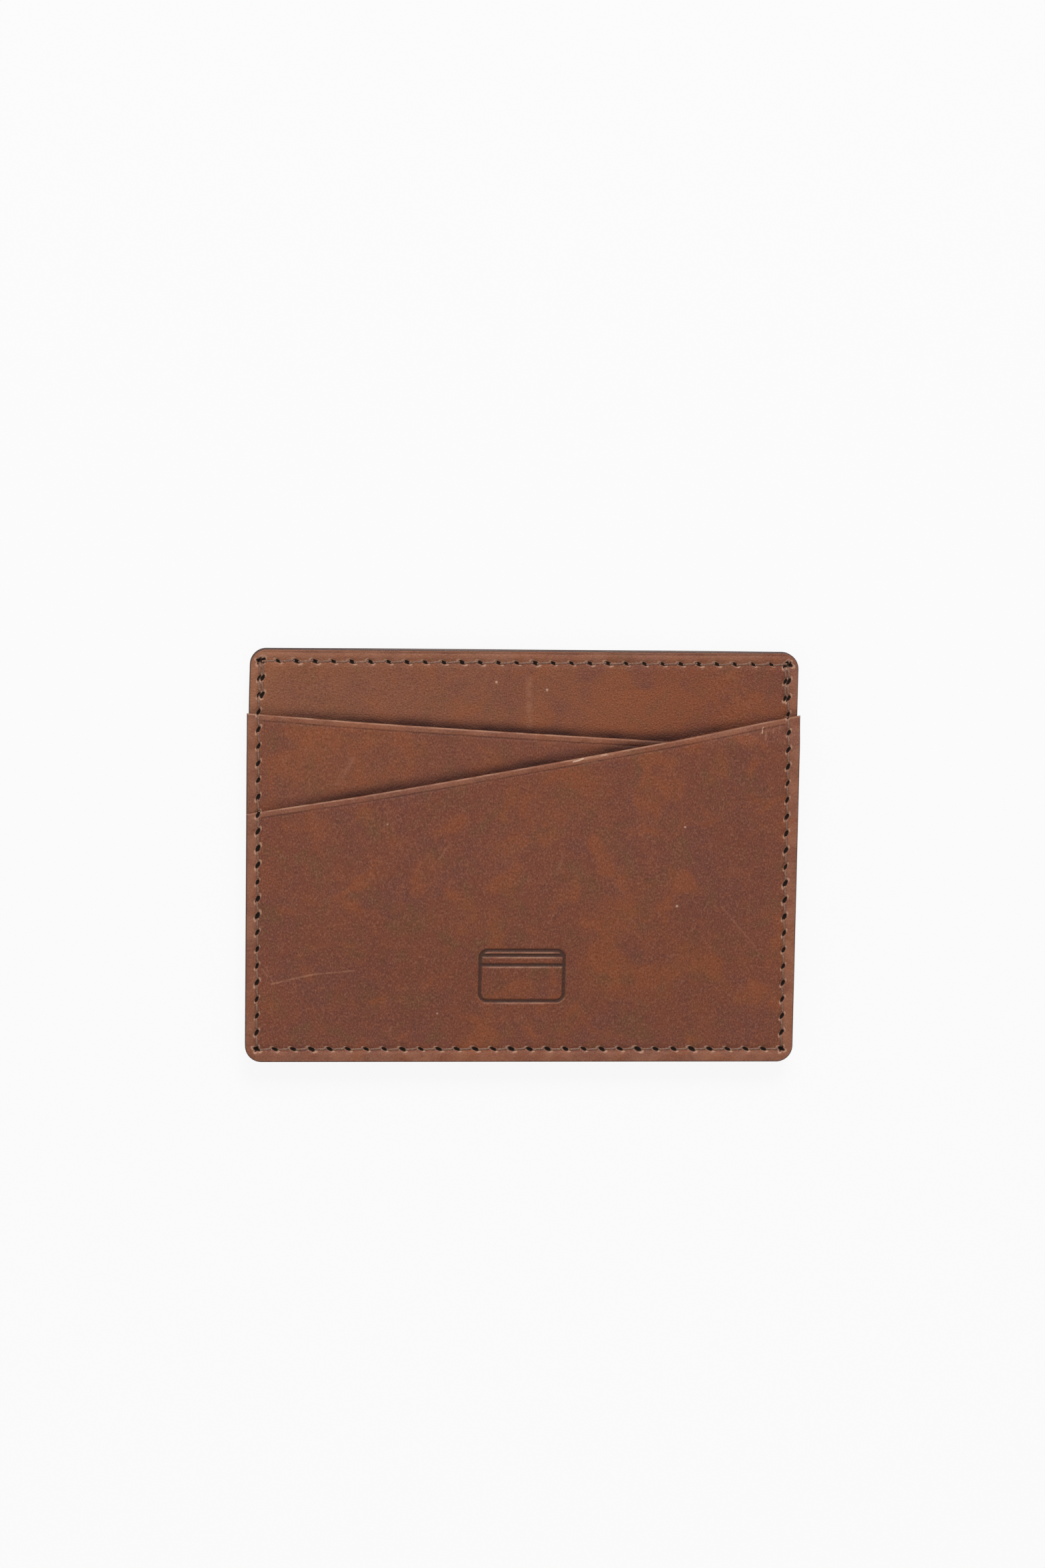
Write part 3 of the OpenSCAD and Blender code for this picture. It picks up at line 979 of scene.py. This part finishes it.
def leather_material(name, shift, seams, strokes, chips_and_highlights, mouths, tans, streak):
    t = Tree(name)
    place = t.place_on_sheet()
    moved = t.vector("ADD", place, shift)
    stretched = t.vector("MULTIPLY", moved, (*streak, 1.0))
    grain = t.noise(stretched, 4300, 1.4, 0.55, 0.2)
    tan = t.ramp(t.split(place)[0], -HALF_W, HALF_W, *tans)
    colour = hide_colour(t, moved, grain, tan)
    torn = t.vector("MULTIPLY_ADD", t.noise_colour(moved, 1100), (0.3 * MM,) * 3, place)
    # Pale specks where the finish is chipped
    speck = t.ramp(t.cells(moved, 95), 0.012, 0.03, 0.7, 0)
    colour = t.mix(speck, colour, CHIP_AND_HIGHLIGHT_PALE)
    # The wax lightens where the leather is pressed or rubbed; some strokes here are instead a painted
    # highlight on the lower pocket's mouth
    cloud = t.noise(moved, 240, 4, 0.6, 0.5)
    rub_and_highlight = t.math("MULTIPLY", t.tag("rim"), t.ramp(cloud, 0.35, 0.65, 0.2, 0.6))
    for start, end, width, share in strokes:
        line = t.stroke(place, start, end, width)
        broken = t.ramp(t.noise(moved, 900, 2, 0.6), 0.35, 0.6, 0.25, 1)
        line = t.math("MULTIPLY", t.math("MULTIPLY", line, broken), share)
        rub_and_highlight = t.math("MAXIMUM", rub_and_highlight, line)
    colour = t.mix(rub_and_highlight, colour, PALE_BROWN)
    # A mouth's own edge is paler: partly burnished leather, partly a painted highlight along the edge
    lip = t.math("MULTIPLY", t.tag("lip"), t.ramp(t.noise(moved, 300, 3, 0.6), 0.35, 0.65, 0.1, 0.75))
    colour = t.mix(lip, colour, LIP_BROWN)
    # Pale chips, and a painted highlight on the lower pocket's mouth
    for start, end, width, share in chips_and_highlights:
        chip_and_highlight = t.math("MULTIPLY", t.ramp(t.stroke(torn, start, end, width), 0.2, 0.6), share)
        colour = t.mix(chip_and_highlight, colour, CHIP_AND_HIGHLIGHT_PALE)
    # Painted shade: a dark band on the leather just above each mouth of a layer over it
    for mouth in mouths:
        band = t.band_above(place, mouth)
        uneven = t.ramp(t.noise(moved, 160, 2, 0.5), 0.3, 0.7, 0.6, 1)
        colour = t.mix(t.math("MULTIPLY", band, uneven), colour, SHADE_BAND_BROWN)
    # Creases and the debossed sign are darker
    worn = t.ramp(t.noise(moved, 130, 2, 0.5), 0.35, 0.65, 0.15, 0.5)
    colour = t.mix(t.math("MULTIPLY", t.tag("crease"), worn), colour, DEEP_BROWN)
    pressed = t.math("MULTIPLY", t.ramp(t.tag("sign"), 0.25, 0.9), 0.85)
    colour = t.mix(pressed, colour, PRESSED_BROWN)
    edge = t.tag("edge")
    flesh = t.tag("flesh")
    open_face = t.math("SUBTRACT", 1.0, t.math("MAXIMUM", flesh, edge))
    holes = 0.0
    # Each needle hole is painted shade, and the lips at its ends a painted highlight
    for seam in seams:
        hole, lips = t.hole_masks(seam, torn)
        hole = t.math("MULTIPLY", hole, open_face)
        colour = t.mix(t.math("MULTIPLY", lips, open_face), colour, LIP_BROWN)
        colour = t.mix(hole, colour, HOLE_SHADE_BLACK)
        holes = t.math("MAXIMUM", holes, hole)
    colour = t.mix(flesh, colour, SUEDE)
    colour = t.mix(t.math("MULTIPLY", edge, 0.9), colour, PAINT)
    t.put(t.shader.inputs["Base Color"], colour)
    # Roughness: waxed grain, smoother painted edge
    rough = t.ramp(grain, 0.3, 0.75, 0.62, 0.5)
    rough = t.math("ADD", rough, t.ramp(cloud, 0.3, 0.7, -0.04, 0.08))
    rough = t.math("SUBTRACT", rough, t.math("MULTIPLY", edge, 0.2))
    t.put(t.shader.inputs["Roughness"], t.math("MAXIMUM", rough, holes))
    t.shader.inputs["Specular IOR Level"].default_value = 0.3
    # Grain: streaks, pebbles and slow dents
    normal = t.bump(grain, 1.0, 0.00014)
    normal = t.bump(t.cells(stretched, 2600), 0.5, 0.00006, normal)
    normal = t.bump(t.noise(moved, 520, 3, 0.6, 1.5), 0.25, 0.0001, normal)
    normal = t.bump(t.noise(moved, 110, 2, 0.5), 0.35, 0.0003, normal)
    t.put(t.shader.inputs["Normal"], normal)
    return t.material


def thread_material():
    t = Tree("waxed_thread")
    place = t.object_place()
    strand = t.noise(place, 4200, 2, 0.6)
    worn = t.noise(place, 300, 2, 0.5)
    colour = t.mix(t.ramp(strand, 0.35, 0.7), (0.115, 0.050, 0.032), (0.30, 0.160, 0.105))
    colour = t.mix(t.ramp(worn, 0.4, 0.65, 0.1, 0.6), colour, (0.165, 0.075, 0.045))
    t.put(t.shader.inputs["Base Color"], colour)
    t.shader.inputs["Roughness"].default_value = 0.68
    t.put(t.shader.inputs["Normal"], t.bump(strand, 0.5, 0.00006))
    return t.material


YARN_PITCH = 0.5 * MM


def cloth_material():
    t = Tree("lining_cloth")
    place = t.object_place()
    per_metre = 2 * math.pi / YARN_PITCH
    warp, weft = (t.math("SINE", t.math("MULTIPLY", axis, per_metre)) for axis in t.split(place))
    weave = t.math("MULTIPLY", warp, weft)
    colour = t.mix(t.ramp(weave, -0.6, 0.6), (0.012, 0.011, 0.010), (0.035, 0.031, 0.028))
    t.put(t.shader.inputs["Base Color"], colour)
    t.shader.inputs["Roughness"].default_value = 0.85
    t.shader.inputs["Sheen Weight"].default_value = 0.3
    t.put(t.shader.inputs["Normal"], t.bump(weave, 0.5, 0.00008))
    return t.material


def tape_material():
    t = Tree("seam_tape_cloth")
    place = t.object_place()
    fibre = t.noise(place, 1800, 3, 0.6)
    colour = t.mix(t.ramp(fibre, 0.3, 0.7), (0.055, 0.032, 0.022), (0.115, 0.070, 0.048))
    t.put(t.shader.inputs["Base Color"], colour)
    t.shader.inputs["Roughness"].default_value = 0.8
    t.put(t.shader.inputs["Normal"], t.bump(fibre, 0.4, 0.00006))
    return t.material


# ---------------------------------------------------------------- the wallet


def from_bottom(x_mm, up_mm):
    """A place on the front, given in millimetres from the middle and above the bottom edge."""
    return (x_mm * MM, BOTTOM + up_mm * MM)


RUBS_AND_HIGHLIGHTS = {
    "front_panel": [(from_bottom(0.9, 61.2), from_bottom(0.6, 70), 1.0 * MM, 0.42)],
    "upper_pocket": [(from_bottom(-33.5, 51), from_bottom(-31, 55.5), 0.9 * MM, 0.3)],
    "lower_pocket": [
        (from_bottom(-45.3, 14.4), from_bottom(-38, 16.2), 0.3 * MM, 0.8),
        (from_bottom(-38, 16.2), from_bottom(-30.1, 17.1), 0.26 * MM, 0.6),
        (from_bottom(-46.3, 17.5), from_bottom(-44.9, 14.3), 0.22 * MM, 0.5),
        (from_bottom(35.9, 29.2), from_bottom(42.8, 21.2), 0.3 * MM, 0.35),
        (from_bottom(7.3, 39.0), from_bottom(5.9, 34.8), 0.5 * MM, 0.28),
        (from_bottom(-13.5, 40.4), from_bottom(-15.3, 37.6), 0.3 * MM, 0.4),
        # Painted highlight on the mouth's edge at x 9 to 16 mm
        (from_bottom(8.8, 55.5), from_bottom(16.2, 56.9), 0.5 * MM, 1.0),
        (from_bottom(10, 54.9), from_bottom(13, 55.5), 0.3 * MM, 0.6),
        (from_bottom(43.9, 61.9), from_bottom(43.6, 59.4), 0.3 * MM, 0.5),
        (from_bottom(45.3, 62.2), from_bottom(45.0, 60.6), 0.3 * MM, 0.55),
        (from_bottom(46.3, 62.4), from_bottom(46.2, 61.2), 0.25 * MM, 0.5),
        (from_bottom(-47, 17.2), from_bottom(-46, 15.8), 0.25 * MM, 0.6),
        (from_bottom(-24, 5), from_bottom(-23.6, 6.6), 0.4 * MM, 0.4),
    ],
}


CHIPS_AND_HIGHLIGHTS = {
    "lower_pocket": [
        # Painted highlight on the mouth's edge at x 9 to 15 mm
        (from_bottom(8.6, 55.35), from_bottom(10.4, 55.9), 0.28 * MM, 0.8),
        (from_bottom(13.6, 56.5), from_bottom(14.6, 56.75), 0.24 * MM, 0.35),
        (from_bottom(43.2, 61.6), from_bottom(43.0, 60.6), 0.2 * MM, 0.6),
    ],
}


# Share of the tanner brown at the left and right sides
TAN_SHARE = {"front_panel": (0.95, -0.1), "upper_pocket": (0.15, 0.1), "back_panel": (0.2, 0.2)}
# Grain frequency across and from top to bottom, where it isn't drawn out from top to bottom
STREAK = {"front_panel": (0.9, 0.75)}
# The mouths above which each piece gets its band of painted shade
MOUTHS_OVER = {"front_panel": (upper_y, lower_y), "upper_pocket": (lower_y,)}


def leather(node, outer, inner, far_y, half_w, seams, **facts):
    piece = Leather(node + "_leather", outer, inner, far_y, half_w, seams)
    for name, value in facts.items():
        setattr(piece, name, value)
    shift = (len(node) * 0.37, len(seams) * 0.21 + len(node) * 0.11, 0.0)
    rubs_and_highlights, mouths = RUBS_AND_HIGHLIGHTS.get(node, ()), MOUTHS_OVER.get(node, ())
    chips_and_highlights, tans = CHIPS_AND_HIGHLIGHTS.get(node, ()), TAN_SHARE.get(node, (0.0, 0.0))
    streak = STREAK.get(node, (1.0, 0.55))
    material = leather_material(node + "_hide", shift, seams, rubs_and_highlights, chips_and_highlights, mouths, tans, streak)
    return place(piece.build(), node, "leather", material)


def build_leather():
    leather(
        "lower_pocket", lower_high, lower_low, lower_y, HALF_W, SIDES + [BOTTOM_SEAM],
        round_top=False, sign=True, crease_low=CREASE_AT,
    )
    leather(
        "upper_pocket", upper_high, upper_low, upper_y, HALF_W, SIDES,
        round_top=False, crease_low=CREASE_AT, shows_from=float(lower_y(-HALF_W)) - 2 * MM,
    )
    leather(
        "front_panel", front_high, front_low, top_y, PANEL_HALF_W, SIDES + [TOP_SEAM] + TACKS,
        crease_low=TOP_CREASE_AT, shows_from=float(upper_y(HALF_W)) - 3 * MM,
    )
    leather(
        "back_panel", back_low, back_high, top_y, HALF_W,
        SIDES + [BOTTOM_SEAM, TOP_SEAM] + TACKS, up=-1, crease_low=TOP_CREASE_AT,
        narrow=HALF_W - PANEL_HALF_W,
    )


def build_linings(cloth):
    for node, low, high, on in (
        ("front_lining", front_lining_low, front_low, "front_panel_leather"),
        ("back_lining", back_high, back_lining_high, "back_panel_leather"),
    ):
        half_w = extent(node)[1][0]
        y0, y1 = extent(node)[0][1], extent(node)[1][1]
        piece = thin_sheet(node + "_cloth", low, high, half_w, y0, y1)
        place(piece, node, "lining", cloth)


# A side strip stops this far short of the bottom strip's edge, inside the rounded corner
TAPE_CORNER = 1.2 * MM
# A strip ends this far below the open top edge, or below its pocket's mouth
TAPE_TOP = 1.8 * MM
TAPE_MOUTH = 1.2 * MM


def build_tapes(tape):
    inner_x = HALF_W - TAPE_INSET - TAPE_W
    for node, low, strips in (
        ("centre_tape", back_lining_high, []),
        ("upper_tape", front_high, [FLOOR_Y]),
        ("lower_tape", upper_high, []),
    ):
        y0, y1 = extent(node)[0][1], extent(node)[1][1]
        high = lambda x, y, low=low: low(x, y) + 0.9 * SEAM_GAP
        patches = []
        for side in (-1, 1):
            x0, x1 = sorted((side * inner_x, side * (inner_x + TAPE_W)))
            end = min(y1, tape_end(node, side))
            patches.append((x0, x1, y0 + TAPE_CORNER, end, 4, 60))
        for y in [y0 + TAPE_W / 2] + strips:
            patches.append((-inner_x, inner_x, y - TAPE_W / 2, y + TAPE_W / 2, 80, 4))
        parts = [
            thin_patch(f"{node}_strip_{i}", low, high, *patch) for i, patch in enumerate(patches)
        ]
        place(joined(node + "_strips", parts), node, "tape", tape)


def tape_end(node, side):
    """Where a side strip stops below its pocket's mouth."""
    if node == "centre_tape":
        return TOP - TAPE_TOP
    mouth = upper_y if node == "upper_tape" else lower_y
    return float(mouth(side * HALF_W)) - TAPE_MOUTH


def joined(name, parts):
    """One piece made of several separate ones."""
    mesh = bpy.data.meshes.new(name)
    bm = bmesh.new()
    for part in parts:
        bm.from_mesh(part.data)
        bpy.data.meshes.remove(part.data)
    bm.to_mesh(mesh)
    bm.free()
    mesh.polygons.foreach_set("use_smooth", [True] * len(mesh.polygons))
    return linked(name, mesh)


# How deep the threads' middles lie in the leather, along X and along Y
SUNK = (0.25 * MM, 0.2 * MM)


def build_threads(thread):
    rows = {
        "rim_thread": [(s, front_face, 1) for s in SIDES + [BOTTOM_SEAM]],
        "rim_bobbin_thread": [(s, back_low, -1) for s in SIDES + [BOTTOM_SEAM]],
        "front_top_thread": [(TOP_SEAM, front_high, 1)],
        "front_top_bobbin_thread": [(TOP_SEAM, front_lining_low, -1)],
        "back_top_thread": [(TOP_SEAM, back_low, -1)],
        "back_top_bobbin_thread": [(TOP_SEAM, back_lining_high, 1)],
        "floor_thread": [(FLOOR_SEAM, upper_high, 1)],
        "floor_bobbin_thread": [(FLOOR_SEAM, front_lining_low, -1)],
        "left_tack_thread": [(LEFT_TACK, front_high, 1), (LEFT_TACK, back_low, -1)],
        "right_tack_thread": [(RIGHT_TACK, front_high, 1), (RIGHT_TACK, back_low, -1)],
    }
    for node, runs in rows.items():
        runs = [
            (seam, lambda x, y, f=f, k=up * SUNK[seam.axis]: f(x, y) - k, up)
            for seam, f, up in runs
        ]
        place(thread_piece(node + "_stitches", runs), node, "thread", thread)


# ---------------------------------------------------------------- camera, floor and light

CAMERA_AT = Vector((-54.50, 99.79, 664.06)) * MM
CAMERA_TURN = [math.radians(a) for a in (-7.496, -4.577, 0.883)]


def build_camera():
    data = bpy.data.cameras.new("camera")
    data.lens = 85
    data.sensor_width = 36
    data.clip_start = 0.01
    camera = linked("camera", data)
    camera.location = CAMERA_AT
    camera.rotation_euler = CAMERA_TURN
    bpy.context.scene.camera = camera


def build_floor():
    t = Tree("paper")
    t.shader.inputs["Base Color"].default_value = (0.055, 0.055, 0.055, 1)
    t.shader.inputs["Emission Color"].default_value = (1, 1, 1, 1)
    t.shader.inputs["Emission Strength"].default_value = 0.9
    t.shader.inputs["Roughness"].default_value = 0.9
    t.shader.inputs["Specular IOR Level"].default_value = 0.1
    bm = bmesh.new()
    bmesh.ops.create_grid(bm, x_segments=8, y_segments=8, size=3)
    mesh = bpy.data.meshes.new("floor")
    bm.to_mesh(mesh)
    bm.free()
    mesh.materials.append(t.material)
    floor = linked("floor", mesh)


def area_light(name, at, size, power):
    data = bpy.data.lights.new(name, "AREA")
    data.shape = "RECTANGLE"
    data.size, data.size_y = size
    data.energy = power
    light = linked(name, data)
    light.location = at
    light.rotation_euler = (-Vector(at)).to_track_quat("-Z", "Y").to_euler()


def build_light():
    world = bpy.data.worlds.new("studio")
    world.use_nodes = True
    world.node_tree.nodes["Background"].inputs["Color"].default_value = (1, 1, 1, 1)
    world.node_tree.nodes["Background"].inputs["Strength"].default_value = 0.5
    bpy.context.scene.world = world
    area_light("key", (0.1, 1.1, 0.95), (0.7, 0.5), 17)
    area_light("fill", (-0.9, -0.5, 1.0), (1.0, 1.0), 3)
    bpy.context.scene.view_settings.view_transform = "Standard"


build_camera()
build_floor()
build_light()
build_leather()
build_linings(cloth_material())
build_tapes(tape_material())
build_threads(thread_material())

bpy.context.view_layer.update()
